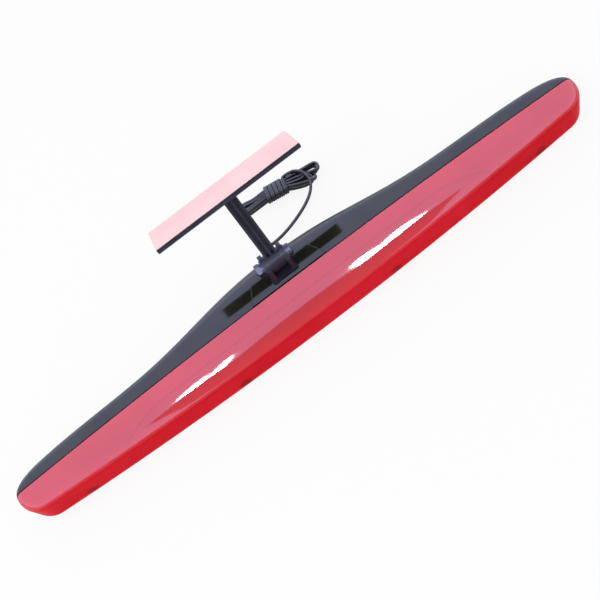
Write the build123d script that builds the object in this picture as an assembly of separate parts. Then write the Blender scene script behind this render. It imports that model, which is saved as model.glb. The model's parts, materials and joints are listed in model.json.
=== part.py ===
from build123d import *
import os
from math import asin, cos, hypot, radians, sin, tan

# Slim high-level brake lamp on a tilting stick-on bracket. All sizes are in millimetres.
# +X runs along the lamp, the lens faces -Y, and the lamp lies on z = 0.
# The origin is on the flat underside, midway between the two ends of the seam.

os.makedirs("parts", exist_ok=True)

# Lamp body, in plan
LAMP_LENGTH = 370.0
FRONT_DEPTH = 20.4              # lens front at the middle, from the line through the seam's ends
END_RADIUS = 14.0               # rounding of the lens ends
SEAM_ARCH = 4.3                 # how far the seam bows back at the middle
BACK_DEPTH = 27.2               # rear wall at the middle
ARM_X = 100.0                   # where the rear bulge has run out into the arm
ARM_DEPTH = 15.0
ARM_SLOPE = 0.058
TIP_INSET = 19.5                # length of the rounded tip of each arm
TIP_DEPTH = 11.4
TIP_SLOPE = 0.12

# Lamp body, in section
LAMP_HEIGHT = 24.0
ROUND_TOP = 6.0
ROUND_BOTTOM = 6.0
WALL = 2.0
SEAM_GAP = 0.6
GASKET_RECESS = 0.7

# Raised pad under the hinge
PAD_HEIGHT = 0.6
PAD_BACK = 17.0
PAD_FRONT_HALF = 26.8
PAD_BACK_HALF = 18.8
PAD_BEVEL = 0.5

# Posts and screws that hold the lens to the housing
POST_PITCH = 100.0
POST_COUNT = 4
POST_Z = 7.0
POST_RADIUS = 4.0
CASE_SCREW_RADIUS = 1.4
CASE_SCREW_CLEAR = 0.2
CASE_SCREW_REACH = 8.5          # thread inside the lens post
CASE_SCREW_SEAT = 7.0           # where the head seats, behind the post joint
CASE_HEAD_RADIUS = 2.6
CASE_HEAD_HEIGHT = 1.8
CASE_WELL_RADIUS = 2.9
DRIVE_RADIUS = 1.1
DRIVE_DEPTH = 0.9

# Board, lamps and reflector
BOARD_LENGTH = 316.0
BOARD_HEIGHT = 9.4
BOARD_CLEAR = 0.6               # from the posts up to the board's lower edge
BOARD_THICK = 1.6
BOARD_FRONT = 1.0
LED_COUNT = 24
LED_PITCH = 13.0
LED_RADIUS = 2.4
LED_FLANGE_RADIUS = 2.7
LED_FLANGE = 1.0
LED_BARREL = 4.4
REFLECTOR_DEPTH = 6.0
CUP_FRONT_RADIUS = 4.2
CUP_BACK_RADIUS = 2.9
BOARD_SCREW_PLACES = (-9, -3, 3, 9)     # in LED pitches from the middle
BOARD_SCREW_RADIUS = 1.2
BOARD_SCREW_BITE = 4.0
BOARD_HEAD_RADIUS = 2.0
BOARD_HEAD_HEIGHT = 1.4
STANDOFF_RADIUS = 3.0
RESISTOR_COUNT = 8
RESISTOR_SIZE = (3.2, 0.6, 1.6)
DIODE_SIZE = (4.3, 2.3, 2.6)
DIODE_X = 16.0

# Hinge mount on the pad
HINGE_X = 1.2                   # hinge, pad and bracket stand a little right of the middle
PIVOT_Y = 15.0
PIVOT_RISE = 8.5                # pivot above the lamp's top
LEG_WIDTH = 7.4
RUNNING_GAP = 0.05
DISC_THICK = 1.0
DISC_RADIUS = 5.2
EAR_THICK = 2.4
EAR_RADIUS = 6.8
FOOT_FRONT = 7.2
FOOT_BACK = 16.6
FOOT_THICK = 1.6
FOOT_MARGIN = 1.2               # foot past the ears on each side
MOUNT_SCREW_RADIUS = 0.8
MOUNT_SCREW_BITE = 5.0
MOUNT_HEAD_RADIUS = 1.8
MOUNT_HEAD_HEIGHT = 1.2

# Hinge bolt and its fittings
BOLT_RADIUS = 2.0
EYE_CLEAR = 0.05                # running clearance round the bolt in the leg's eye
WASHER_RADIUS = 4.5
WASHER_THICK = 0.7
SPRING_WASHER_RADIUS = 3.5
SPRING_WASHER_THICK = 0.9
SPRING_WASHER_SPLIT = 0.8
BOLT_HEAD_RADIUS = 3.6
BOLT_HEAD_HEIGHT = 2.8
BOLT_HEAD_ROUND = 1.2
BOLT_TAIL = 0.7
NUT_FLATS = 7.0
NUT_HEIGHT = 2.8
NUT_CHAMFER = 0.35

# Leg, plate, tape and liner
LEG_LIFT = 63.0                 # angle of the leg above the horizontal
LEG_LENGTH = 47.2               # pivot to the plate
EYE_RADIUS = 5.6
LEG_DEPTH = 6.4
WEB_THICK = 1.6
FLANGE_THICK = 1.3
RIB_THICK = 1.2
RIB_DEPTH = 5.2
PLATE_LENGTH = 86.6
PLATE_WIDTH = 23.3
PLATE_THICK = 1.7
PLATE_CORNER = 1.0
TAPE_THICK = 0.9
TAPE_MARGIN = 0.4
LINER_THICK = 0.12
LINER_MARGIN = 0.1

# Cable entry
GLAND_X = -4.0
GLAND_Z = 10.0
GLAND_NECK_RADIUS = 2.6
GLAND_FLANGE_RADIUS = 3.6
GLAND_FLANGE = 0.8
GLAND_TIP_RADIUS = 2.2
GLAND_TIP = 0.6
CORE_RADIUS = 0.55
CORE_PITCH = 1.3
CORE_FAN = 2.4
CORE_BEND = 3.0
TIE_SIZE = (4.6, 2.2, 3.0)
SOLDER_RADIUS = 1.0
SOLDER_HEIGHT = 0.8

# Loose cable: the stretch in the open and the tied hank
CABLE_RADIUS = 1.0
HANK_START = (3.0, 76.4)
HANK_END = (56.0, 68.0)
HANK_STATIONS = (               # distance along the hank, width and height
    (0.0, 5.0, 3.6),
    (3.0, 7.4, 5.6),
    (13.0, 7.6, 6.4),
    (16.3, 9.6, 8.0),
    (16.5, 11.5, 9.5),
    (31.0, 11.5, 9.5),
    (31.05, 9.6, 6.4),
    (40.0, 12.0, 6.5),
    (48.0, 12.4, 6.2),
    (52.2, 9.5, 5.2),
    (53.6, 5.0, 3.4),
)
HANK_ENTRY = (31.05, 4.2, 7.2)  # where the cable meets the wraps: along, across and up


def rod_x(y, z, radius, start, end):
    """Round bar along X."""
    bar = Cylinder(radius, end - start, align=(Align.CENTER, Align.CENTER, Align.MIN))
    return Pos(start, y, z) * Rot(0, 90, 0) * bar


def rod_y(x, z, radius, start, end):
    """Round bar along Y."""
    bar = Cylinder(radius, end - start, align=(Align.CENTER, Align.CENTER, Align.MIN))
    return Pos(x, start, z) * Rot(-90, 0, 0) * bar


def block(x, y, z):
    """Box between two limits on each axis."""
    box = Box(x[1] - x[0], y[1] - y[0], z[1] - z[0], align=(Align.MIN, Align.MIN, Align.MIN))
    return Pos(x[0], y[0], z[0]) * box


def rear_line(side, inset):
    """Rear outline of one half of the lamp: bulge, arm and tip, on the side given by its sign."""
    end_x = LAMP_LENGTH / 2 - inset
    tip_x = LAMP_LENGTH / 2 - TIP_INSET
    third = (tip_x - ARM_X) / 3
    back_y = BACK_DEPTH - inset
    arm_y = ARM_DEPTH - inset
    tip_y = TIP_DEPTH - inset
    arm_start = (ARM_X, arm_y)
    arm_end = (tip_x, tip_y)
    bulge_lead = (0.6 * ARM_X, arm_y + 0.4 * ARM_X * ARM_SLOPE)
    bulge = ((0, back_y), (0.42 * ARM_X, back_y), bulge_lead, arm_start)
    start_lead = (ARM_X + third, arm_y - third * ARM_SLOPE)
    end_lead = (tip_x - third, tip_y + third * TIP_SLOPE)
    arm = (arm_start, start_lead, end_lead, arm_end)
    lead = 0.5 * TIP_INSET
    tip = (arm_end, (tip_x + lead, tip_y - lead * TIP_SLOPE), (end_x, 0.64 * tip_y), (end_x, 0))
    return [Bezier(*[(side * x, y) for x, y in part]) for part in (bulge, arm, tip)]


def lamp_plan(inset):
    """Plan of the whole lamp moved inwards: long front arc, round ends and the waisted rear line."""
    half = LAMP_LENGTH / 2 - inset
    depth = FRONT_DEPTH - inset
    corner = END_RADIUS - inset
    centre = half - corner
    front_radius = (centre**2 + depth**2 - corner**2) / (2 * (depth - corner))
    turn = asin(centre / (front_radius - corner))
    mid = (turn - radians(90)) / 2
    meet = (centre + corner * sin(turn), -corner * cos(turn))
    bulge = (centre + corner * cos(mid), corner * sin(mid))
    right = ThreePointArc((half, 0), bulge, meet)
    front = ThreePointArc(meet, (0, -depth), (-meet[0], meet[1]))
    left = ThreePointArc((-meet[0], meet[1]), (-bulge[0], bulge[1]), (-half, 0))
    return make_face(Wire(rear_line(1, inset) + [right, front, left] + rear_line(-1, inset)))


def lamp_form(inset):
    """The lamp's outer form as a solid, moved inwards by inset on every side."""
    form = extrude(Pos(0, 0, inset) * lamp_plan(inset), LAMP_HEIGHT - 2 * inset)
    top = form.faces().sort_by(Axis.Z)[-1].edges()
    form = fillet(top, ROUND_TOP - inset)
    bottom = form.faces().sort_by(Axis.Z)[0].edges()
    return fillet(bottom, max(ROUND_BOTTOM - inset, 0.3))


def ahead_of_seam(shift):
    """Everything in front of the seam surface moved back by shift."""
    half = LAMP_LENGTH / 2
    edge_x = half + END_RADIUS
    edge_y = SEAM_ARCH * (1 - (edge_x / half)**2)
    seam = Bezier((-edge_x, edge_y), (0, 2 * SEAM_ARCH - edge_y), (edge_x, edge_y))
    far_y = -2 * FRONT_DEPTH
    sides = Polyline((edge_x, edge_y), (edge_x, far_y), (-edge_x, far_y), (-edge_x, edge_y))
    region = make_face(Wire([seam] + sides.edges()))
    return extrude(Pos(0, shift, -LAMP_HEIGHT) * region, 3 * LAMP_HEIGHT)


def post_places():
    """X of each lens post."""
    first = -POST_PITCH * (POST_COUNT - 1) / 2
    return [first + POST_PITCH * i for i in range(POST_COUNT)]


# ---------------------------------------------------------------- lens, housing and gasket
outer = lamp_form(0.0)
hollow = lamp_form(WALL)
pivot_z = LAMP_HEIGHT + PIVOT_RISE
board_bottom = POST_Z + POST_RADIUS + BOARD_CLEAR
board_mid = board_bottom + BOARD_HEIGHT / 2
board_back = BOARD_FRONT + BOARD_THICK
gland_tip_y = BACK_DEPTH + GLAND_FLANGE + GLAND_TIP

lens = (outer & ahead_of_seam(0.0)) - hollow
for x in post_places():
    lens += rod_y(x, POST_Z, POST_RADIUS, -2 * FRONT_DEPTH, 0) & outer
for x in post_places():
    lens -= rod_y(x, POST_Z, CASE_SCREW_RADIUS, -CASE_SCREW_REACH, 0)
export_step(lens, "parts/outer_lens.step")

pad_outline = Polyline(
    (-PAD_FRONT_HALF, 0),
    (PAD_FRONT_HALF, 0),
    (PAD_BACK_HALF, PAD_BACK),
    (-PAD_BACK_HALF, PAD_BACK),
    close=True,
)
pad = extrude(Pos(HINGE_X, 0, LAMP_HEIGHT - WALL / 2) * make_face(pad_outline), WALL / 2 + PAD_HEIGHT)
pad = chamfer(pad.faces().sort_by(Axis.Z)[-1].edges(), PAD_BEVEL)

screw_places = [LED_PITCH * place for place in BOARD_SCREW_PLACES]
mount_screw_x = LEG_WIDTH / 2 + RUNNING_GAP + DISC_THICK + EAR_THICK / 2
mount_screw_y = (FOOT_FRONT + FOOT_BACK) / 2

housing = outer - hollow
housing += pad
housing -= ahead_of_seam(SEAM_GAP)
for x in post_places():
    housing += rod_y(x, POST_Z, POST_RADIUS, 0, 2 * BACK_DEPTH) & outer
for x in screw_places:
    housing += rod_y(x, board_mid, STANDOFF_RADIUS, board_back, 2 * BACK_DEPTH) & outer
for x in post_places():
    housing -= rod_y(x, POST_Z, CASE_SCREW_RADIUS + CASE_SCREW_CLEAR, 0, CASE_SCREW_SEAT)
    housing -= rod_y(x, POST_Z, CASE_WELL_RADIUS, CASE_SCREW_SEAT, 2 * BACK_DEPTH)
for x in screw_places:
    housing -= rod_y(x, board_mid, BOARD_SCREW_RADIUS, board_back, board_back + BOARD_SCREW_BITE)
for x in (-mount_screw_x, mount_screw_x):
    hole = Cylinder(MOUNT_SCREW_RADIUS + CASE_SCREW_CLEAR, 4 * WALL)
    housing -= Pos(HINGE_X + x, mount_screw_y, LAMP_HEIGHT) * hole
housing -= rod_y(GLAND_X, GLAND_Z, GLAND_NECK_RADIUS, BACK_DEPTH - 2 * WALL, BACK_DEPTH + WALL)
export_step(housing, "parts/rear_housing.step")

gasket = lamp_form(GASKET_RECESS) & ahead_of_seam(SEAM_GAP)
gasket -= ahead_of_seam(0.0)
gasket -= hollow
export_step(gasket, "parts/seam_gasket.step")

# ---------------------------------------------------------------- case screws
case_screws = []
for x in post_places():
    screw = rod_y(x, POST_Z, CASE_SCREW_RADIUS, -CASE_SCREW_REACH, CASE_SCREW_SEAT)
    head = rod_y(x, POST_Z, CASE_HEAD_RADIUS, CASE_SCREW_SEAT, CASE_SCREW_SEAT + CASE_HEAD_HEIGHT)
    head = chamfer(head.edges().sort_by(Axis.Y)[-1], 0.4)
    top = CASE_SCREW_SEAT + CASE_HEAD_HEIGHT
    screw = screw + head - rod_y(x, POST_Z, DRIVE_RADIUS, top - DRIVE_DEPTH, top)
    case_screws.append(screw)
export_step(Compound(case_screws), "parts/case_screws.step")

# ---------------------------------------------------------------- board and what is on it
half_board = BOARD_LENGTH / 2
board_z = (board_bottom, board_bottom + BOARD_HEIGHT)
board = block((-half_board, half_board), (BOARD_FRONT, board_back), board_z)
for x in screw_places:
    board -= rod_y(x, board_mid, BOARD_SCREW_RADIUS, BOARD_FRONT, board_back)
export_step(board, "parts/circuit_board.step")

reflector_front = BOARD_FRONT - REFLECTOR_DEPTH
led_places = [LED_PITCH * (i - (LED_COUNT - 1) / 2) for i in range(LED_COUNT)]
reflector = block((-half_board, half_board), (reflector_front, BOARD_FRONT), board_z)
for x in led_places:
    cup = Cone(CUP_FRONT_RADIUS, CUP_BACK_RADIUS, REFLECTOR_DEPTH)
    reflector -= Pos(x, (reflector_front + BOARD_FRONT) / 2, board_mid) * Rot(-90, 0, 0) * cup
for x in screw_places:
    reflector -= rod_y(x, board_mid, BOARD_SCREW_RADIUS, reflector_front, BOARD_FRONT)
export_step(reflector, "parts/reflector_strip.step")

leds = []
for x in led_places:
    led = rod_y(x, board_mid, LED_FLANGE_RADIUS, BOARD_FRONT - LED_FLANGE, BOARD_FRONT)
    tip = BOARD_FRONT - LED_FLANGE - LED_BARREL
    led += rod_y(x, board_mid, LED_RADIUS, tip, BOARD_FRONT - LED_FLANGE)
    led += Pos(x, tip, board_mid) * Sphere(LED_RADIUS)
    leds.append(led)
export_step(Compound(leds), "parts/led_lamps.step")

board_screws = []
for x in screw_places:
    head = rod_y(x, board_mid, BOARD_HEAD_RADIUS, reflector_front - BOARD_HEAD_HEIGHT, reflector_front)
    head = chamfer(head.edges().sort_by(Axis.Y)[0], 0.3)
    shank = rod_y(x, board_mid, BOARD_SCREW_RADIUS, reflector_front, board_back + BOARD_SCREW_BITE)
    board_screws.append(head + shank)
export_step(Compound(board_screws), "parts/board_screws.step")

resistors = []
for i in range(RESISTOR_COUNT):
    side = 1 if i % 2 else -1
    x = side * LED_PITCH * (4.5 + i // 2)
    x_limits = (x - RESISTOR_SIZE[0] / 2, x + RESISTOR_SIZE[0] / 2)
    z_limits = (board_mid - RESISTOR_SIZE[2] / 2, board_mid + RESISTOR_SIZE[2] / 2)
    resistors.append(block(x_limits, (board_back, board_back + RESISTOR_SIZE[1]), z_limits))
export_step(Compound(resistors), "parts/board_resistors.step")

diode_x = (DIODE_X - DIODE_SIZE[0] / 2, DIODE_X + DIODE_SIZE[0] / 2)
diode_z = (board_mid - DIODE_SIZE[2] / 2, board_mid + DIODE_SIZE[2] / 2)
diode = block(diode_x, (board_back, board_back + DIODE_SIZE[1]), diode_z)
diode = chamfer(diode.faces().sort_by(Axis.Y)[-1].edges(), 0.3)
export_step(diode, "parts/protection_diode.step")

# ---------------------------------------------------------------- hinge mount
pad_top = LAMP_HEIGHT + PAD_HEIGHT
foot_top = pad_top + FOOT_THICK
ear_inner = LEG_WIDTH / 2 + RUNNING_GAP + DISC_THICK
ear_outer = ear_inner + EAR_THICK
foot_half = ear_outer + FOOT_MARGIN

at_hinge = Pos(HINGE_X, 0, 0)
mount = block((-foot_half, foot_half), (FOOT_FRONT, FOOT_BACK), (pad_top, foot_top))
mount = fillet(mount.edges().filter_by(Axis.Z), 1.0)
for side in (-1, 1):
    low, high = sorted((side * ear_inner, side * ear_outer))
    ear = rod_x(PIVOT_Y, pivot_z, EAR_RADIUS, low, high)
    cheek = Polyline(
        (FOOT_FRONT, pad_top),
        (FOOT_BACK, pad_top),
        (PIVOT_Y + EAR_RADIUS * 0.86, pivot_z - EAR_RADIUS * 0.5),
        (PIVOT_Y, pivot_z),
        (PIVOT_Y - EAR_RADIUS, pivot_z),
        close=True,
    )
    ear += Pos(low, 0, 0) * extrude(Plane.YZ * make_face(cheek), EAR_THICK)
    mount += ear
mount -= rod_x(PIVOT_Y, pivot_z, BOLT_RADIUS, -2 * ear_outer, 2 * ear_outer)
for x in (-mount_screw_x, mount_screw_x):
    bite = Cylinder(MOUNT_SCREW_RADIUS, MOUNT_SCREW_BITE, align=(Align.CENTER, Align.CENTER, Align.MIN))
    mount -= Pos(x, mount_screw_y, pad_top) * bite
export_step(at_hinge * mount, "parts/hinge_mount.step")

mount_screws = []
for x in (-mount_screw_x, mount_screw_x):
    seat = LAMP_HEIGHT - WALL
    length = pad_top + MOUNT_SCREW_BITE - seat
    shank = Cylinder(MOUNT_SCREW_RADIUS, length, align=(Align.CENTER, Align.CENTER, Align.MIN))
    head = Cylinder(MOUNT_HEAD_RADIUS, MOUNT_HEAD_HEIGHT, align=(Align.CENTER, Align.CENTER, Align.MAX))
    mount_screws.append(Pos(HINGE_X + x, mount_screw_y, seat) * (shank + head))
export_step(Compound(mount_screws), "parts/mount_screws.step")

discs = []
for side in (-1, 1):
    low, high = sorted((side * ear_inner, side * (ear_inner - DISC_THICK)))
    disc = rod_x(PIVOT_Y, pivot_z, DISC_RADIUS, low, high)
    discs.append(at_hinge * (disc - rod_x(PIVOT_Y, pivot_z, BOLT_RADIUS, low, high)))
export_step(Compound(discs), "parts/friction_discs.step")

# ---------------------------------------------------------------- hinge bolt and fittings
washer_out = ear_outer + WASHER_THICK
spring_out = washer_out + SPRING_WASHER_THICK
nut_out = spring_out + NUT_HEIGHT

washers = []
for side in (-1, 1):
    low, high = sorted((side * ear_outer, side * washer_out))
    washer = rod_x(PIVOT_Y, pivot_z, WASHER_RADIUS, low, high)
    washers.append(at_hinge * (washer - rod_x(PIVOT_Y, pivot_z, BOLT_RADIUS, low, high)))
export_step(Compound(washers), "parts/flat_washers.step")

spring_washer = rod_x(PIVOT_Y, pivot_z, SPRING_WASHER_RADIUS, -spring_out, -washer_out)
spring_washer -= rod_x(PIVOT_Y, pivot_z, BOLT_RADIUS, -spring_out, -washer_out)
split_y = (PIVOT_Y - SPRING_WASHER_SPLIT / 2, PIVOT_Y + SPRING_WASHER_SPLIT / 2)
spring_washer -= block((-spring_out, -washer_out), split_y, (pivot_z - 2 * SPRING_WASHER_RADIUS, pivot_z))
export_step(at_hinge * spring_washer, "parts/spring_washer.step")

nut_face = RegularPolygon(NUT_FLATS / 2, 6, major_radius=False)
nut = extrude(nut_face, NUT_HEIGHT)
nut_round = Cylinder(NUT_FLATS * 0.577, NUT_HEIGHT, align=(Align.CENTER, Align.CENTER, Align.MIN))
nut &= chamfer(nut_round.edges(), NUT_CHAMFER)
nut -= Cylinder(BOLT_RADIUS, NUT_HEIGHT, align=(Align.CENTER, Align.CENTER, Align.MIN))
nut = Pos(HINGE_X - nut_out, PIVOT_Y, pivot_z) * Rot(0, 90, 0) * nut
export_step(nut, "parts/hinge_nut.step")

bolt = rod_x(PIVOT_Y, pivot_z, BOLT_RADIUS, -nut_out - BOLT_TAIL, washer_out)
bolt = chamfer(bolt.edges().sort_by(Axis.X)[0], 0.4)
bolt_head = rod_x(PIVOT_Y, pivot_z, BOLT_HEAD_RADIUS, washer_out, washer_out + BOLT_HEAD_HEIGHT)
bolt_head = fillet(bolt_head.edges().sort_by(Axis.X)[-1], BOLT_HEAD_ROUND)
head_end = washer_out + BOLT_HEAD_HEIGHT
bolt_head -= rod_x(PIVOT_Y, pivot_z, DRIVE_RADIUS, head_end - DRIVE_DEPTH, head_end)
export_step(at_hinge * (bolt + bolt_head), "parts/hinge_bolt.step")

# ---------------------------------------------------------------- leg with its plate, tape and liner
half_leg = LEG_WIDTH / 2
half_depth = LEG_DEPTH / 2
half_plate = PLATE_LENGTH / 2
half_width = PLATE_WIDTH / 2
plate_top = LEG_LENGTH + PLATE_THICK
tape_top = plate_top + TAPE_THICK
tilt = Pos(HINGE_X, PIVOT_Y, pivot_z) * Rot(LEG_LIFT - 90, 0, 0)

leg = rod_x(0, 0, EYE_RADIUS, -half_leg, half_leg)
leg += block((-half_leg, half_leg), (-WEB_THICK / 2, WEB_THICK / 2), (0, LEG_LENGTH))
leg += block((-half_leg, -half_leg + FLANGE_THICK), (-half_depth, half_depth), (0, LEG_LENGTH))
leg += block((half_leg - FLANGE_THICK, half_leg), (-half_depth, half_depth), (0, LEG_LENGTH))
leg += block((-RIB_THICK / 2, RIB_THICK / 2), (-RIB_DEPTH / 2, RIB_DEPTH / 2), (0, LEG_LENGTH))
plate = block((-half_plate, half_plate), (-half_width, half_width), (LEG_LENGTH, plate_top))
plate = fillet(plate.edges().filter_by(Axis.Z), PLATE_CORNER)
leg = leg + plate - rod_x(0, 0, BOLT_RADIUS + EYE_CLEAR, -half_leg, half_leg)
export_step(tilt * leg, "parts/bracket_leg.step")

tape_x = half_plate - TAPE_MARGIN
tape_y = half_width - TAPE_MARGIN
tape = block((-tape_x, tape_x), (-tape_y, tape_y), (plate_top, tape_top))
tape = fillet(tape.edges().filter_by(Axis.Z), PLATE_CORNER)
export_step(tilt * tape, "parts/foam_tape.step")

liner_x = half_plate - LINER_MARGIN
liner_y = half_width - LINER_MARGIN
liner = block((-liner_x, liner_x), (-liner_y, liner_y), (tape_top, tape_top + LINER_THICK))
liner = fillet(liner.edges().filter_by(Axis.Z), PLATE_CORNER)
export_step(tilt * liner, "parts/release_liner.step")

# ---------------------------------------------------------------- cable entry
flange_end = BACK_DEPTH + GLAND_FLANGE
inner_face = BACK_DEPTH - WALL
gland = rod_y(GLAND_X, GLAND_Z, GLAND_FLANGE_RADIUS, inner_face, flange_end) - outer
gland += rod_y(GLAND_X, GLAND_Z, GLAND_FLANGE_RADIUS, inner_face - GLAND_FLANGE, BACK_DEPTH) & hollow
gland += rod_y(GLAND_X, GLAND_Z, GLAND_NECK_RADIUS, inner_face - GLAND_FLANGE, flange_end)
sleeve = Cone(GLAND_NECK_RADIUS, GLAND_TIP_RADIUS, GLAND_TIP)
gland += Pos(GLAND_X, flange_end + GLAND_TIP / 2, GLAND_Z) * Rot(-90, 0, 0) * sleeve

solder_y = board_back + SOLDER_HEIGHT
cores = []
solder = []
for side in (-1, 1):
    near = GLAND_X + side * CORE_PITCH / 2
    far = near + side * CORE_FAN
    core_path = FilletPolyline(
        (near, gland_tip_y, GLAND_Z),
        (near, inner_face - 8, GLAND_Z),
        (far, solder_y + 6, board_mid),
        (far, solder_y, board_mid),
        radius=CORE_BEND,
    )
    start = Plane(origin=(near, gland_tip_y, GLAND_Z), z_dir=(0, -1, 0))
    cores.append(sweep(start * Circle(CORE_RADIUS), path=core_path))
    solder.append(rod_y(far, board_mid, SOLDER_RADIUS, board_back, solder_y))
    gland -= rod_y(near, GLAND_Z, CORE_RADIUS, inner_face - 2 * WALL, gland_tip_y)
export_step(gland, "parts/cable_gland.step")
export_step(Compound(cores), "parts/inner_leads.step")
export_step(Compound(solder), "parts/solder_joints.step")

tie_back = inner_face - GLAND_FLANGE - 1.0
tie_x = (GLAND_X - TIE_SIZE[0] / 2, GLAND_X + TIE_SIZE[0] / 2)
tie_z = (GLAND_Z - TIE_SIZE[2] / 2, GLAND_Z + TIE_SIZE[2] / 2)
tie = block(tie_x, (tie_back - TIE_SIZE[1], tie_back), tie_z)
tie = fillet(tie.edges().filter_by(Axis.Y), 0.8)
for side in (-1, 1):
    tie -= rod_y(GLAND_X + side * CORE_PITCH / 2, GLAND_Z, CORE_RADIUS, tie_back - TIE_SIZE[1], tie_back)
export_step(tie, "parts/cable_tie.step")

# ---------------------------------------------------------------- loose cable and hank
hank_span = hypot(HANK_END[0] - HANK_START[0], HANK_END[1] - HANK_START[1])
along = ((HANK_END[0] - HANK_START[0]) / hank_span, (HANK_END[1] - HANK_START[1]) / hank_span)
across = (-along[1], along[0])


def hank_point(distance, side, height):
    """Point given along the hank, across it and above the floor."""
    x = HANK_START[0] + along[0] * distance + across[0] * side
    y = HANK_START[1] + along[1] * distance + across[1] * side
    return (x, y, height)


def hank_section(distance, width, height):
    """Oval section of the hank standing on the floor."""
    plane = Plane(origin=hank_point(distance, 0, height / 2), x_dir=(*across, 0), z_dir=(*along, 0))
    return plane * Ellipse(width / 2, height / 2)


hank = loft([hank_section(*station) for station in HANK_STATIONS], ruled=True)
export_step(hank, "parts/cable_hank.step")

cable_exit = (GLAND_X, gland_tip_y, GLAND_Z)
entry = hank_point(*HANK_ENTRY)


def shifted(point, x, y, z):
    """Point moved by the given amounts."""
    return (point[0] + x, point[1] + y, point[2] + z)


route = [
    cable_exit,
    shifted(cable_exit, 0.0, 5.2, 0.0),
    shifted(cable_exit, 3.6, 12.6, -2.2),
    shifted(cable_exit, 15.5, 15.4, -6.4),
    shifted(entry, -10.6, -29.2, -5.5),
    shifted(entry, 1.3, -23.9, -5.9),
    shifted(entry, 8.5, -19.3, -3.8),
    shifted(entry, 12.3, -13.2, -0.6),
    shifted(entry, 11.6, -6.1, 0.7),
    shifted(entry, 7.0 * along[0], 7.0 * along[1], 0.0),
    entry,
]


def corner_radii(points):
    """Bend radius at each inner point: 0.45 of the shorter run over tan of half the turn."""
    radii = []
    for before, here, after in zip(points, points[1:], points[2:]):
        run_in = Vector(*here) - Vector(*before)
        run_out = Vector(*after) - Vector(*here)
        half_turn = radians(run_in.get_angle(run_out)) / 2
        radii.append(0.45 * min(run_in.length, run_out.length) / tan(half_turn))
    return radii


radii = corner_radii(route)
print("cable bend radii", [round(r, 1) for r in radii])
cable_path = FilletPolyline(*route, radius=radii)
cable_start = Plane(origin=route[0], z_dir=Vector(*route[1]) - Vector(*route[0]))
cable = sweep(cable_start * Circle(CABLE_RADIUS), path=cable_path)
print("open cable length", round(cable_path.length, 1), "tube volume", round(cable.volume, 2))
export_step(cable, "parts/cable_lead.step")
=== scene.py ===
# %% [markdown]
# # A slim high-level brake lamp on a stick-on bracket
# The lamp is a long red lens closed by a black housing, with a small hinge on top that carries a
# leg and a taped plate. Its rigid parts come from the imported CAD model, so they are loaded first
# and never moved. This lesson gives them their finishes, makes the loose cable, and lights it all.

# %% Load the fixed frame
import json
from math import cos, pi, radians, sin

import bmesh
import bpy
import numpy as np
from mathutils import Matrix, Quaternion, Vector


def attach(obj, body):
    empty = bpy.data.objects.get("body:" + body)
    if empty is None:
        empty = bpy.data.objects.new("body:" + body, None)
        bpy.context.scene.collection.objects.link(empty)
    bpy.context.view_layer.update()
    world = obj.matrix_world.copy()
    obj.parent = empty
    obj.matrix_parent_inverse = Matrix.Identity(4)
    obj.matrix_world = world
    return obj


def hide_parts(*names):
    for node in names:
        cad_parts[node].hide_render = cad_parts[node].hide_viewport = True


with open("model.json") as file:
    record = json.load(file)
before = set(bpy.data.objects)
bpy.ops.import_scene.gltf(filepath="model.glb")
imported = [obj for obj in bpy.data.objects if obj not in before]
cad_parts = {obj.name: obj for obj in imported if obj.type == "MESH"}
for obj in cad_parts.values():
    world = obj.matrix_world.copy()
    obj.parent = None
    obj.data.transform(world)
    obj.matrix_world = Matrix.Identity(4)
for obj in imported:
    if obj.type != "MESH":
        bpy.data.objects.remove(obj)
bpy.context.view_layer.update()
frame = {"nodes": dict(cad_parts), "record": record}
scene = bpy.context.scene
scene.view_settings.view_transform = "Standard"

# %% [markdown]
# ## Camera
# A lamp this long is best laid across the diagonal of a square picture. The camera stands in front
# of the lens, looks steeply down on it, and is rolled about its own line of sight so that the right
# end rises. A track quaternion points it, and a second one rolls it: no constraint is needed.

# %% Camera
LOOK_AT = Vector((-0.001, -0.009, 0.024))
CAMERA_DISTANCE = 0.419
CAMERA_RISE = radians(59.4)
CAMERA_ROLL = radians(-37.13)
CAMERA_LENS = 48.24
SENSOR_WIDTH = 36

towards_camera = Vector((0, -cos(CAMERA_RISE), sin(CAMERA_RISE)))
camera = bpy.data.objects.new("camera", bpy.data.cameras.new("camera"))
scene.collection.objects.link(camera)
camera.data.lens = CAMERA_LENS
camera.data.sensor_width = SENSOR_WIDTH
camera.data.clip_start = 0.01
camera.location = LOOK_AT + CAMERA_DISTANCE * towards_camera
camera.rotation_mode = "QUATERNION"
camera.rotation_quaternion = towards_camera.to_track_quat("Z", "Y") @ Quaternion((0, 0, 1), CAMERA_ROLL)
scene.camera = camera
print("camera at", [round(v, 3) for v in camera.location])

# %% [markdown]
# ## The cable's line
# The feed is a flat twin cable. It leaves the rear wall, bends down to the table, swings out to the
# right, climbs over its own hank and ends in it: first wound round the bundle, then folded to and
# fro. It is one length of one cable, so it is one NURBS spline, and everything else follows it.
# Points in the open are few and listed one by one. Winding and folds are turns, so loops place them.

# %% The stretch in the open
CABLE_WIDTH = 0.0028
CABLE_THICKNESS = 0.00148
CABLE_EXIT = (-0.004, 0.0286, 0.010)

open_points = [
    CABLE_EXIT,
    (-0.004, 0.0338, 0.010),
    (-0.0004, 0.0412, 0.0078),
    (0.0115, 0.0440, 0.0036),
    (0.0237, 0.0485, 0.0018),
    (0.0360, 0.0540, 0.0016),
    (0.0431, 0.0582, 0.0036),
    (0.046625, 0.062488, 0.0070),
    (0.045925, 0.069588, 0.0080),
    (0.0422, 0.0742, 0.0074),
]
print("points in the open", len(open_points))

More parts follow.
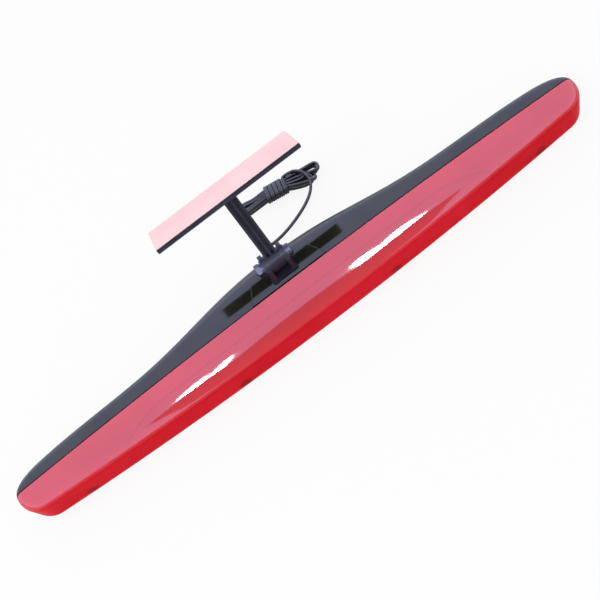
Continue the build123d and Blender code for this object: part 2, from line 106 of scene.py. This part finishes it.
# %% The hank's own directions
HANK_START = Vector((0.003, 0.0764, 0))
HANK_ALONG = Vector((0.98767, -0.15654, 0))
HANK_ACROSS = Vector((0.15654, 0.98767, 0))


def on_hank(distance, side, height):
    """Point given in millimetres along the hank, across it and above the table."""
    return HANK_START + (distance * HANK_ALONG + side * HANK_ACROSS) / 1000 + Vector((0, 0, height / 1000))


print("hank starts at", [round(v, 4) for v in HANK_START])

# %% Turns wound round the bundle
TURN_POINTS = 14
WOUND_TURNS = 4.72
WOUND_HALF_WIDTH = 5.04
WOUND_HALF_HEIGHT = 4.1
WOUND_CENTRE = 4.94
WOUND_FROM = 30.6
WOUND_OVER = 13.2
FIRST_ANGLE = 52.0
UNEVENNESS = 0.02

wound_points = [on_hank(36.6, 4.75, 6.9), on_hank(33.2, 4.6, 7.1)]
steps = round(WOUND_TURNS * TURN_POINTS)
for step in range(steps + 1):
    angle = radians(FIRST_ANGLE + 360 * step / TURN_POINTS)
    distance = WOUND_FROM - WOUND_OVER * step / steps
    loose = 1 + UNEVENNESS * sin(2.3 * step)
    wound_points.append(
        on_hank(
            distance,
            WOUND_HALF_WIDTH * loose * cos(angle),
            WOUND_CENTRE + WOUND_HALF_HEIGHT * sin(angle),
        )
    )
wound_end = wound_points[-1].copy()
print("points in the winding", len(wound_points))


# %% Runs and folds of the bundle
FOLD_POINTS = 6
FOLD_HALF_ANGLE = 75


def fold(tip, near, far, height_near, height_far, way):
    """Half a turn at an end of the hank, from one side to the other, tip furthest out along way."""
    middle = (near + far) / 2
    radius = abs(near - far) / 2
    turn = []
    for step in range(FOLD_POINTS):
        share = step / (FOLD_POINTS - 1)
        angle = radians(FOLD_HALF_ANGLE * (2 * share - 1))
        turn.append(
            on_hank(
                tip + way * radius * (cos(angle) - 1),
                middle + (far - near) / 2 * sin(angle),
                height_near + (height_far - height_near) * share,
            )
        )
    return turn


def run(left_side, left_height, tied_side, tied_height, right_side, right_height, wave):
    """Points of one run from left to right: free, tied under the winding, then free again."""
    return [
        on_hank(9.0, left_side, left_height + wave),
        on_hank(13.6, (left_side + tied_side) / 2, (left_height + tied_height) / 2),
        on_hank(18.0, tied_side, tied_height),
        on_hank(24.0, tied_side + wave, tied_height),
        on_hank(30.0, tied_side, tied_height),
        on_hank(34.5, (tied_side + right_side) / 2, tied_height * 0.45 + right_height * 0.55),
        on_hank(40.0, right_side, right_height - wave),
    ]


LOW, HIGH = 1.56, 4.3
TIED_LOW, TIED_HIGH = 3.45, 6.3
runs = [
    run(-2.45, LOW, -2.4, TIED_LOW, -5.0, 1.62, 0.08),
    run(-0.85, HIGH, -0.8, TIED_HIGH, -1.5, 4.1, -0.1),
    run(0.8, HIGH, 0.8, TIED_HIGH, 1.2, 4.1, 0.12),
    run(2.4, HIGH, 2.4, TIED_HIGH, 4.3, 3.9, -0.1),
    run(-2.35, HIGH, -2.4, TIED_HIGH, -4.6, 4.1, 0.1),
    run(-0.8, LOW, -0.8, TIED_LOW, -1.2, 1.6, -0.08),
    run(0.75, LOW, 0.8, TIED_LOW, 1.3, 1.64, 0.1),
    run(2.5, LOW, 2.4, TIED_LOW, 4.4, 1.6, -0.1),
]
left_end = [on_hank(13.2, 3.6, 2.2), on_hank(9.0, 2.5, 1.6)]
bundle_points = (
    left_end
    + fold(0.8, 3.28, -3.4, LOW, LOW, -1)
    + runs[0]
    + fold(46.6, -5.5, -0.9, 1.6, 4.1, 1)
    + runs[1][::-1]
    + fold(2.4, -1.85, 1.85, HIGH, HIGH, -1)
    + runs[2]
    + fold(53.2, -1.2, 4.7, 3.9, 4.0, 1)
    + runs[3][::-1]
    + fold(0.9, 3.3, -3.45, HIGH, HIGH, -1)
    + runs[4]
    + fold(49.0, -6.1, -0.4, 4.0, 1.7, 1)
    + runs[5][::-1]
    + fold(2.3, -1.85, 1.85, LOW, LOW, -1)
    + runs[6]
    + fold(51.6, -0.4, 4.9, 1.6, 1.6, 1)
    + runs[7][:2:-1]
)
print("points in the bundle", len(bundle_points))

# %% One spline through all of them
cable_points = [Vector(p) for p in open_points] + wound_points + bundle_points
cable_curve = bpy.data.curves.new("cable_line", "CURVE")
cable_curve.dimensions = "3D"
cable_curve.resolution_u = 16
cable_spline = cable_curve.splines.new("NURBS")
cable_spline.points.add(len(cable_points) - 1)
for point, place in zip(cable_spline.points, cable_points):
    point.co = (*place, 1)
cable_spline.order_u = 3
cable_spline.use_endpoint_u = True
line_object = bpy.data.objects.new("cable_line", cable_curve)
line_mesh = bpy.data.meshes.new_from_object(line_object)
fine_line = np.array([v.co for v in line_mesh.vertices])
bpy.data.objects.remove(line_object)

RING_STEP = 0.0006
travelled = np.concatenate([[0], np.cumsum(np.linalg.norm(np.diff(fine_line, axis=0), axis=1))])
cable_length = float(travelled[-1])
stations = np.linspace(0, cable_length, round(cable_length / RING_STEP) + 1)
cable_line = np.stack([np.interp(stations, travelled, fine_line[:, k]) for k in range(3)], axis=1)
print("cable length", round(cable_length, 4), "rings", len(cable_line))

# %% [markdown]
# ## The cable's skin
# A round bevel can't show the groove between the two cores, and a curve's own twist flips where the
# winding stands upright. So a figure-eight ring is carried along the line, with its wide side turned
# the way such a cable lies: flat round the bundle and on edge in the folds, where it bends easily.


# %% Which way the wide side points
LEAVING_LENGTH = 0.009
BLEND_LENGTH = 0.005
OPEN_WIDE = (0.0, -0.25, 0.97)


def nearest(point):
    """Index of the line's point nearest to a place."""
    return int(np.linalg.norm(cable_line - np.array(point), axis=1).argmin())


winding_from = nearest(wound_points[3])
winding_to = nearest(wound_end)
leaving = int(LEAVING_LENGTH / RING_STEP)
wide = np.tile(OPEN_WIDE, (len(cable_line), 1))
wide[:leaving] = (1, 0, 0)
wide[winding_from:winding_to] = HANK_ALONG
wide[winding_to:] = (0, 0, 1)
blend_over = int(BLEND_LENGTH / RING_STEP)
kernel = np.ones(2 * blend_over + 1) / (2 * blend_over + 1)
padded = np.concatenate([np.tile(wide[0], (blend_over, 1)), wide, np.tile(wide[-1], (blend_over, 1))])
wide = np.stack([np.convolve(padded[:, k], kernel, "valid") for k in range(3)], axis=1)

tangent = np.gradient(cable_line, axis=0)
tangent /= np.linalg.norm(tangent, axis=1)[:, None]
wide -= (wide * tangent).sum(1)[:, None] * tangent
wide /= np.linalg.norm(wide, axis=1)[:, None]
thin = np.cross(tangent, wide)
print("winding runs from ring", winding_from, "to", winding_to)

# %% Carry the ring along the line
LOBE_RADIUS = CABLE_THICKNESS / 2
LOBE_CENTRE = CABLE_WIDTH / 2 - LOBE_RADIUS
LOBE_POINTS = 9
groove = np.arccos(LOBE_CENTRE / LOBE_RADIUS)
ring = []
for side in (1, -1):
    for step in range(LOBE_POINTS):
        angle = (-pi + groove) + (2 * pi - 2 * groove) * step / LOBE_POINTS
        ring.append((side * (LOBE_CENTRE + LOBE_RADIUS * cos(angle)), side * LOBE_RADIUS * sin(angle)))
ring = np.array(ring)
skin = cable_line[:, None] + ring[None, :, :1] * wide[:, None] + ring[None, :, 1:] * thin[:, None]
around = len(ring)
faces = []
for i in range(len(cable_line) - 1):
    for k in range(around):
        ahead = (k + 1) % around
        faces.append((i * around + k, i * around + ahead, (i + 1) * around + ahead, (i + 1) * around + k))
faces.append(tuple(range(around)))
faces.append(tuple(range(around * (len(cable_line) - 1), around * len(cable_line))))
cable_mesh = bpy.data.meshes.new("cable")
cable_mesh.from_pydata(skin.reshape(-1, 3).tolist(), [], faces)
cable_shape = bmesh.new()
cable_shape.from_mesh(cable_mesh)
bmesh.ops.recalc_face_normals(cable_shape, faces=cable_shape.faces)
cable_shape.to_mesh(cable_mesh)
cable_shape.free()
cable_mesh.shade_smooth()
cable = bpy.data.objects.new("cable", cable_mesh)
scene.collection.objects.link(cable)
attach(cable, "lamp")
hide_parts("cable_lead", "cable_hank")
print("cable faces", len(cable_mesh.polygons))


# %% [markdown]
# ## A short way to write materials
# Materials are node trees, and wiring them by hand is long. This class wraps one output socket, so
# that sums on values become Math nodes, and it has one method that adds a node of any other type.


# %% Wire, a socket that can be calculated with
CREST_Y = 0.015
CROWN_RADIUS = 0.046


class Wire:
    """One output socket of a node tree."""

    def __init__(self, tree, socket):
        self.tree = tree
        self.socket = socket

    def node(self, kind, settings, inputs, output=0):
        """Adds a node, sets it up, then gives its sockets their values or links."""
        made = self.tree.nodes.new(kind)
        for name, value in settings.items():
            setattr(made, name, value)
        for name, value in inputs.items():
            if isinstance(value, Wire):
                self.tree.links.new(value.socket, made.inputs[name])
            else:
                made.inputs[name].default_value = value
        return Wire(self.tree, made.outputs[output])

    def math(self, operation, *values):
        """A Math node on up to three values."""
        return self.node("ShaderNodeMath", {"operation": operation}, dict(enumerate(values)))

    def __add__(self, other):
        return self.math("ADD", self, other)

    __radd__ = __add__

    def __mul__(self, other):
        return self.math("MULTIPLY", self, other)

    __rmul__ = __mul__

    def __sub__(self, other):
        return self.math("SUBTRACT", self, other)

    def __rsub__(self, other):
        return self.math("SUBTRACT", other, self)

    def __truediv__(self, other):
        return self.math("DIVIDE", self, other)

    def __abs__(self):
        return self.math("ABSOLUTE", self)

    def smooth(self, low, high):
        """0 below low, 1 above high, and a smooth step between them."""
        inputs = {"Value": self, "From Min": low, "From Max": high}
        return self.node("ShaderNodeMapRange", {"interpolation_type": "SMOOTHSTEP"}, inputs)

    def noise(self, size, detail=2.0):
        """Noise with grains of a size in metres, from 0 to 1."""
        inputs = {"Vector": self, "Scale": 1 / size, "Detail": detail}
        return self.node("ShaderNodeTexNoise", {}, inputs)

    def mix(self, first, second):
        """Colour that goes from first to second as this value goes from 0 to 1."""
        settings = {"data_type": "RGBA", "clamp_factor": True}
        inputs = {"Factor": self, 6: first, 7: second}
        return self.node("ShaderNodeMix", settings, inputs, 2)

    def parts(self):
        """The three numbers of a vector."""
        split = self.node("ShaderNodeSeparateXYZ", {}, {"Vector": self})
        node = split.socket.node
        return [Wire(self.tree, node.outputs[k]) for k in range(3)]

    def bump(self, height, depth, normal=None):
        """A bumped normal for a height from 0 to 1, depth in metres, on top of another normal."""
        inputs = {"Distance": depth, "Height": height}
        if normal is not None:
            inputs["Normal"] = normal
        return self.node("ShaderNodeBump", {}, inputs)

    def crowned(self, upright):
        """The normal of a top shaded as if it were crowned, where upright is 1.

        The mesh is flat there: only its sheen follows a crown of this radius with its crest at CREST_Y.
        """
        lean = (self.parts()[1] - CREST_Y) * (1 / CROWN_RADIUS) * upright
        outward = self.node("ShaderNodeCombineXYZ", {}, {"Y": lean})
        flat = self.node("ShaderNodeNewGeometry", {}, {}, "Normal")
        leaned = self.node("ShaderNodeVectorMath", {"operation": "ADD"}, {0: flat, 1: outward})
        return self.node("ShaderNodeVectorMath", {"operation": "NORMALIZE"}, {0: leaned})


print("wire ready")


# %% Start a finish
def colour(red, green, blue):
    """Colour written in linear light, opaque."""
    return (red, green, blue, 1.0)


def new_finish(name, constants):
    """A material with a Principled shader whose fixed sockets are set, and its object coordinates."""
    material = bpy.data.materials.new(name)
    material.use_nodes = True
    tree = material.node_tree
    shader = tree.nodes["Principled BSDF"]
    for socket, value in constants.items():
        shader.inputs[socket].default_value = value
    place = tree.nodes.new("ShaderNodeTexCoord")
    return material, shader, Wire(tree, place.outputs["Object"])


def feed(shader, **wires):
    """Links wires to a shader's sockets, with _ for a space in a socket's name."""
    for name, wire in wires.items():
        wire.tree.links.new(wire.socket, shader.inputs[name.replace("_", " ")])


def moulded(name, dark, light, grain, depth, rough, constants=None):
    """Moulded plastic, rubber or paint: two close tones, a fine grain, and uneven gloss."""
    material, shader, spot = new_finish(name, constants or {})
    cloud = spot.noise(0.012, 3.0)
    fine = spot.noise(grain)
    feed(
        shader,
        Base_Color=cloud.smooth(0.35, 0.65).mix(dark, light),
        Roughness=rough[0] + (rough[1] - rough[0]) * (cloud * 0.6 + fine * 0.4),
        Normal=spot.bump(fine, depth),
    )
    return material


print("finish helpers ready")

# %% [markdown]
# ## Red lens
# The lens is red plastic over a pale inside, so it glows one deep red. What makes it pale on top is
# only what its polish mirrors. Two shaders of the same red are mixed by how far a face looks up: a
# polished one for the top and bottom, and a duller one for the front, where moulded optics behind it
# scatter the sheen. The edge of the reflector and the screw posts are painted on as faint tones,
# because the shader isn't transparent. The top's normals lean as if it were slightly crowned.

# %% Red lens
lens_finish, lens_shader, lens_spot = new_finish("red_lens", {"IOR": 1.62, "Roughness": 0.05})
lens_x, lens_y, lens_z = lens_spot.parts()
lens_normal = lens_spot.node("ShaderNodeNewGeometry", {}, {}, "Normal")
normal_up = abs(lens_normal.parts()[2])

POST_X = (0.05, 0.15)
POST_Z = 0.007
across_x = abs(lens_x)
on_front = 1 - lens_y.smooth(-0.010, -0.006)
posts = 0.0
for post in POST_X:
    from_post = lens_spot.math("ABSOLUTE", across_x - post)
    from_middle = abs(lens_z - POST_Z)
    far = lens_spot.math("SQRT", from_post * from_post + from_middle * from_middle)
    posts = posts + (1 - far.smooth(0.0012, 0.0052))
posts = posts * on_front

EDGE_STRAIGHT_TO = 0.085
EDGE_Y = -0.0064
EDGE_CURVE = 8.4
beyond = lens_spot.math("MAXIMUM", across_x - EDGE_STRAIGHT_TO, 0.0)
edge_line = EDGE_Y - EDGE_CURVE * (beyond * beyond)
from_edge = abs(lens_y - edge_line)
inner_edge = (1 - from_edge.smooth(0.0002, 0.0011)) * normal_up.smooth(0.5, 0.9)
ahead_of_edge = (edge_line - lens_y).smooth(0.0, 0.003) * normal_up.smooth(0.5, 0.9)

deep_red = colour(0.60, 0.0035, 0.012)
tone = lens_spot.noise(0.03, 2.0).smooth(0.3, 0.7)
body = tone.mix(deep_red, colour(0.66, 0.007, 0.02))
body = (ahead_of_edge * 0.35).mix(body, colour(0.60, 0.004, 0.03))
body = (inner_edge * 0.30).mix(body, colour(0.33, 0.002, 0.01))
body = (posts * 0.6).mix(body, colour(0.16, 0.004, 0.006))
ripple = lens_spot.noise(0.02, 1.0)
feed(
    lens_shader,
    Base_Color=body,
    Normal=lens_spot.bump(ripple, 0.00002, lens_spot.crowned(normal_up.smooth(0.6, 0.98))),
)
glossy_top = Wire(lens_spot.tree, lens_shader.outputs["BSDF"])
front_settings = {"Base Color": body, "IOR": 1.1, "Roughness": 0.35}
deep_front = lens_spot.node("ShaderNodeBsdfPrincipled", {}, front_settings)
both = lens_spot.node(
    "ShaderNodeMixShader", {}, {0: normal_up.smooth(0.15, 0.55), 1: deep_front, 2: glossy_top}
)
lens_output = lens_finish.node_tree.nodes["Material Output"]
lens_finish.node_tree.links.new(both.socket, lens_output.inputs["Surface"])
print("lens finish", lens_finish.name)

# %% [markdown]
# ## The other finishes
# Most of the rest is moulded black plastic, rubber, foam or plated steel. One helper covers them:
# each gets its own tones, grain and gloss, because a single flat colour looks like no material.

# %% Black housing
housing_finish, housing_shader, housing_spot = new_finish("black_housing", {"IOR": 1.42})
housing_normal = housing_spot.node("ShaderNodeNewGeometry", {}, {}, "Normal")
housing_up = abs(housing_normal.parts()[2])
housing_grain = housing_spot.noise(0.0009)
housing_cloud = housing_spot.noise(0.02, 3.0).smooth(0.35, 0.65)
housing_crown = housing_spot.crowned(housing_up.smooth(0.6, 0.98))
feed(
    housing_shader,
    Base_Color=housing_cloud.mix(colour(0.013, 0.013, 0.009), colour(0.020, 0.020, 0.014)),
    Roughness=0.07 + 0.05 * housing_grain,
    Normal=housing_spot.bump(housing_grain, 0.000003, housing_crown),
)

# %% Bracket, hinge discs and rubber
bracket_finish = moulded(
    "bracket_black",
    colour(0.013, 0.013, 0.024),
    colour(0.024, 0.024, 0.042),
    0.0005,
    0.00001,
    (0.30, 0.44),
    {"IOR": 1.33},
)
disc_finish = moulded(
    "disc_black", colour(0.010, 0.010, 0.011), colour(0.016, 0.016, 0.018), 0.0004, 0.00001, (0.35, 0.5)
)
gasket_finish = moulded(
    "gasket_rubber", colour(0.006, 0.005, 0.006), colour(0.010, 0.009, 0.010), 0.0004, 0.00001, (0.6, 0.75)
)
gland_finish = moulded(
    "gland_rubber", colour(0.010, 0.010, 0.011), colour(0.016, 0.016, 0.017), 0.0004, 0.00001, (0.5, 0.65)
)
foam_finish = moulded(
    "foam_black", colour(0.010, 0.010, 0.012), colour(0.034, 0.032, 0.036), 0.0002, 0.00006, (0.8, 0.95)
)
cable_finish = moulded(
    "cable_black", colour(0.014, 0.014, 0.017), colour(0.026, 0.026, 0.031), 0.0006, 0.000012, (0.34, 0.46)
)
print("black finishes ready")

# %% Parts inside the lamp
reflector_finish = moulded(
    "white_reflector", colour(0.74, 0.74, 0.72), colour(0.80, 0.80, 0.78), 0.0006, 0.000006, (0.35, 0.5)
)
board_finish = moulded(
    "board_green", colour(0.010, 0.075, 0.030), colour(0.016, 0.10, 0.042), 0.0004, 0.000006, (0.3, 0.42)
)
led_finish = moulded(
    "led_red", colour(0.42, 0.010, 0.014), colour(0.50, 0.014, 0.018), 0.0006, 0.000004, (0.1, 0.2)
)
component_finish = moulded(
    "component_black", colour(0.012, 0.012, 0.013), colour(0.020, 0.020, 0.021), 0.0003, 0.000006, (0.4, 0.55)
)
insulation_finish = moulded(
    "lead_insulation", colour(0.030, 0.028, 0.030), colour(0.042, 0.040, 0.042), 0.0004, 0.00001, (0.4, 0.5)
)
tie_finish = moulded(
    "tie_nylon", colour(0.56, 0.55, 0.50), colour(0.64, 0.63, 0.58), 0.0004, 0.00001, (0.4, 0.5)
)

# %% Plated steel and solder
steel_finish, steel_shader, steel_spot = new_finish("zinc_steel", {"Metallic": 1.0})
steel_stretch = steel_spot.node(
    "ShaderNodeMapping", {"vector_type": "POINT"}, {"Vector": steel_spot, "Scale": (0.25, 1.0, 1.0)}
)
steel_grain = steel_stretch.noise(0.0004, 3.0)
# The base colour is far darker than plated steel's own. This is painted shade: it stands in for the dark
# surroundings a real bolt head and nut mirror, so that the bright window met by glossy rays does not make
# them too light.
feed(
    steel_shader,
    Base_Color=steel_spot.noise(0.002).mix(colour(0.055, 0.055, 0.075), colour(0.09, 0.09, 0.12)),
    Roughness=0.34 + 0.16 * steel_grain,
    Normal=steel_spot.bump(steel_grain, 0.000006),
)
solder_finish, solder_shader, solder_spot = new_finish("solder", {"Metallic": 1.0})
feed(
    solder_shader,
    Base_Color=solder_spot.noise(0.0006).mix(colour(0.50, 0.50, 0.50), colour(0.66, 0.66, 0.67)),
    Roughness=0.2 + 0.2 * solder_spot.noise(0.0003),
)

# %% Peel-off liner
liner_constants = {"Coat Weight": 0.25, "Coat Roughness": 0.3}
liner_finish, liner_shader, liner_spot = new_finish("liner_pink", liner_constants)
liner_fibre = liner_spot.noise(0.0005, 4.0)
liner_cloud = liner_spot.noise(0.02, 3.0).smooth(0.3, 0.7)
feed(
    liner_shader,
    Base_Color=liner_cloud.mix(colour(0.96, 0.60, 0.60), colour(0.98, 0.66, 0.66)),
    Roughness=0.5 + 0.15 * liner_fibre,
    Normal=liner_spot.bump(liner_fibre, 0.000012),
)
print("finishes", len(bpy.data.materials))

# %% [markdown]
# ## Giving every part its finish
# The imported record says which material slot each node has. The imported materials carry the slots'
# names, so a table from slot to finish is enough, and a part added later is never missed in silence.

# %% Give every part its finish
finishes = {
    "red_lens": lens_finish,
    "black_housing": housing_finish,
    "gasket_rubber": gasket_finish,
    "white_reflector": reflector_finish,
    "board_green": board_finish,
    "led_red": led_finish,
    "component_black": component_finish,
    "zinc_steel": steel_finish,
    "solder": solder_finish,
    "bracket_black": bracket_finish,
    "disc_black": disc_finish,
    "foam_black": foam_finish,
    "liner_pink": liner_finish,
    "gland_rubber": gland_finish,
    "cable_black": cable_finish,
    "lead_insulation": insulation_finish,
    "tie_nylon": tie_finish,
}
slot_of = {part["node"]: part["material_slot"] for part in frame["record"]["subparts"]}
for name, piece in frame["nodes"].items():
    for place in piece.material_slots:
        place.material = finishes[slot_of[name]]
cable_mesh.materials.append(cable_finish)
print("finished parts", len(slot_of))

# %% [markdown]
# ## Floor, light and surroundings
# The lamp lies on a pale table in a bright room. The room is the world shader: it lights everything
# evenly, and mirrored rays also find a large bluish window. It reaches from behind the lamp to past
# overhead, and puts the pale sheen on the tops. The floor is nearly white to the eye and still takes
# a soft shadow. One lamp gives that shadow, and four that only mirrors meet make the white streaks.

# %% Floor
FLOOR_RADIUS = 6.0
FLOOR_GLOW = 0.86
floor_shape = bmesh.new()
bmesh.ops.create_circle(floor_shape, cap_ends=True, segments=64, radius=FLOOR_RADIUS)
floor_mesh = bpy.data.meshes.new("floor")
floor_shape.to_mesh(floor_mesh)
floor_shape.free()
floor = bpy.data.objects.new("floor", floor_mesh)
scene.collection.objects.link(floor)
floor_finish = bpy.data.materials.new("pale_floor")
floor_finish.use_nodes = True
floor_tree = floor_finish.node_tree
floor_tree.nodes.clear()
floor_start = floor_tree.nodes.new("ShaderNodeLightPath")
seen = Wire(floor_tree, floor_start.outputs["Is Camera Ray"])
paint = seen.node("ShaderNodeBsdfDiffuse", {}, {"Color": colour(0.9, 0.9, 0.9)})
glow = seen.node("ShaderNodeEmission", {}, {"Color": colour(1, 1, 1), "Strength": 1.0})
blend = seen.node("ShaderNodeMixShader", {}, {0: seen * FLOOR_GLOW, 1: paint, 2: glow})
floor_out = floor_tree.nodes.new("ShaderNodeOutputMaterial")
floor_tree.links.new(blend.socket, floor_out.inputs["Surface"])
floor_mesh.materials.append(floor_finish)
print("floor faces", len(floor_mesh.polygons))

# %% Room and its window
LOWEST_UP = 0.02
world = bpy.data.worlds.new("room")
scene.world = world
world.use_nodes = True
room = world.node_tree
room.nodes.clear()
room_start = room.nodes.new("ShaderNodeTexCoord")
direction = Wire(room, room_start.outputs["Generated"])
east, north, up = direction.parts()
ray = room.nodes.new("ShaderNodeLightPath")
mirrored = Wire(room, ray.outputs["Is Glossy Ray"])
shown = direction.math(
    "MAXIMUM", Wire(room, ray.outputs["Is Camera Ray"]), Wire(room, ray.outputs["Is Transmission Ray"])
)
rise = direction.math("MAXIMUM", up, LOWEST_UP)
slant = abs(east) / rise
window_edge = -0.62 - 4.0 * (slant * slant)
behind = (north / rise - window_edge).smooth(-0.02, 0.02)
window = behind * up.smooth(0.02, 0.12) * mirrored
daylight = direction.node("ShaderNodeBackground", {}, {"Color": colour(0.97, 0.985, 1.0), "Strength": 0.86})
white = direction.node("ShaderNodeBackground", {}, {"Color": colour(1, 1, 1), "Strength": 1.0})
sheen = direction.node("ShaderNodeBackground", {}, {"Color": colour(0.64, 0.70, 1.0), "Strength": 3.4})
lit = direction.node("ShaderNodeMixShader", {}, {0: shown, 1: daylight, 2: white})
lit = direction.node("ShaderNodeMixShader", {}, {0: window, 1: lit, 2: sheen})
room_out = room.nodes.new("ShaderNodeOutputWorld")
room.links.new(lit.socket, room_out.inputs["Surface"])
print("room nodes", len(room.nodes))


# %% Soft lamps
def soft_lamp(name, place, size, power, shows):
    """An oval area lamp that faces the origin, met by glossy rays only (polish) or diffuse (shape)."""
    data = bpy.data.lights.new(name, "AREA")
    data.shape = "ELLIPSE"
    data.size, data.size_y = size
    data.energy = power
    lamp = bpy.data.objects.new(name, data)
    scene.collection.objects.link(lamp)
    lamp.location = place
    lamp.rotation_mode = "QUATERNION"
    lamp.rotation_quaternion = Vector(place).to_track_quat("Z", "Y")
    lamp.visible_glossy = shows == "polish"
    lamp.visible_diffuse = shows == "shape"
    lamp.visible_transmission = False


soft_lamp("key", (-0.9, -0.5, 1.3), (0.6, 0.6), 6.0, "shape")
WATTS_PER_AREA = 100
streaks = {
    "streak_left_long": ((-0.209, -0.42, 0.68), (0.054, 0.10)),
    "streak_left_short": ((-0.155, -0.42, 0.68), (0.035, 0.11)),
    "streak_right_short": ((0.120, -0.42, 0.68), (0.060, 0.13)),
    "streak_right_long": ((0.187, -0.42, 0.68), (0.070, 0.12)),
}
for name, (place, size) in streaks.items():
    soft_lamp(name, place, size, WATTS_PER_AREA * size[0] * size[1], "polish")
